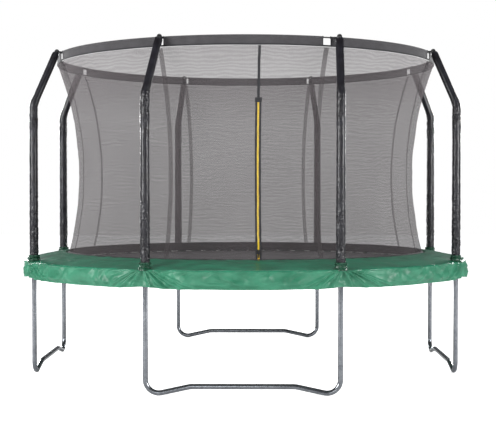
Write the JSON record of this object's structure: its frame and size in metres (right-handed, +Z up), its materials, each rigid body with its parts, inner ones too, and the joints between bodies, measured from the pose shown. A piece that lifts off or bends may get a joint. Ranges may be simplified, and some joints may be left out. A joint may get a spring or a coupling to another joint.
{
  "type": "trampoline",
  "caption": "Round sprung jumping mat on a tubular steel ring with W-shaped legs, a padded edge, and a waisted safety net with a zipped doorway on bent foam-covered poles.",
  "frame": {"origin": "on the ground under the centre of the mat", "axes": "+Z up, -Y towards the zipped doorway's side, X to the right seen from there"},
  "size_m": [3.6902, 3.6902, 2.5865],
  "materials": {
    "galvanised_steel": "galvanised, dull",
    "zinc_steel": "zinc plated",
    "foam": "closed-cell foam",
    "sleeve_film": "glossy crinkled film",
    "black_plastic": "satin",
    "ring_fibreglass": "smooth",
    "band_cloth": "plain weave",
    "net": "fine open mesh",
    "black_tape": "woven webbing",
    "yellow_zip": "moulded coil",
    "green_pvc": "glossy coated cloth",
    "mat_cloth": "woven polypropylene",
    "elastic": "braided"
  },
  "bodies": {
    "frame": {"top_rail_1": "galvanised_steel", "top_rail_2": "galvanised_steel", "top_rail_3": "galvanised_steel", "top_rail_4": "galvanised_steel", "top_rail_5": "galvanised_steel", "top_rail_6": "galvanised_steel", "top_rail_7": "galvanised_steel", "top_rail_8": "galvanised_steel", "frame_tees": "galvanised_steel", "leg_upright_1": "galvanised_steel", "leg_upright_2": "galvanised_steel", "leg_upright_3": "galvanised_steel", "leg_upright_4": "galvanised_steel", "leg_upright_5": "galvanised_steel", "leg_upright_6": "galvanised_steel", "leg_upright_7": "galvanised_steel", "leg_upright_8": "galvanised_steel", "leg_base_front": "galvanised_steel", "leg_base_right": "galvanised_steel", "leg_base_back": "galvanised_steel", "leg_base_left": "galvanised_steel", "pole_lower_1": "galvanised_steel", "pole_lower_2": "galvanised_steel", "pole_lower_3": "galvanised_steel", "pole_lower_4": "galvanised_steel", "pole_lower_5": "galvanised_steel", "pole_lower_6": "galvanised_steel", "pole_lower_7": "galvanised_steel", "pole_lower_8": "galvanised_steel", "pole_upper_1": "galvanised_steel", "pole_upper_2": "galvanised_steel", "pole_upper_3": "galvanised_steel", "pole_upper_4": "galvanised_steel", "pole_upper_5": "galvanised_steel", "pole_upper_6": "galvanised_steel", "pole_upper_7": "galvanised_steel", "pole_upper_8": "galvanised_steel", "pole_foam": "foam", "pole_sleeves": "sleeve_film", "pole_caps": "black_plastic", "frame_screws": "zinc_steel", "ring_rods": "ring_fibreglass", "ring_ferrules": "zinc_steel", "net_top_band": "band_cloth", "net_wall": "net", "zip_tapes": "black_tape", "zip_chain": "yellow_zip", "zip_trim": "black_tape", "springs": "zinc_steel", "pad_cover": "green_pvc", "pad_foam": "foam", "pad_skirt": "green_pvc", "pad_straps": "black_tape"},
    "mat_bed": {"mat": "mat_cloth", "mat_tabs": "black_tape", "mat_rings": "zinc_steel", "net_bottom_band": "band_cloth", "net_loops": "elastic"},
    "zip_slider": {"zip_slider": "zinc_steel"},
    "zip_pull": {"zip_pull": "black_plastic"}
  },
  "joints": [
    {"name": "mat_bounce", "type": "slide", "parent": "frame", "child": "mat_bed", "axis": [0, 0, -1], "range_m": [0, 0.15], "stiffness_N_per_m": 8000, "springref_m": -0.06, "deforming": ["springs"]},
    {"name": "zip_run", "type": "hinge", "parent": "frame", "child": "zip_slider", "pos_m": [0.29122, -3.87307, 1.59], "axis": [0.9972, 0.075, 0], "range_deg": [0, 24.8]},
    {"name": "zip_pull_swing", "type": "hinge", "parent": "zip_slider", "child": "zip_pull", "pos_m": [0.11112, -1.47782, 1.01016], "axis": [-0.9972, -0.075, 0], "range_deg": [0, 150]}
  ]
}
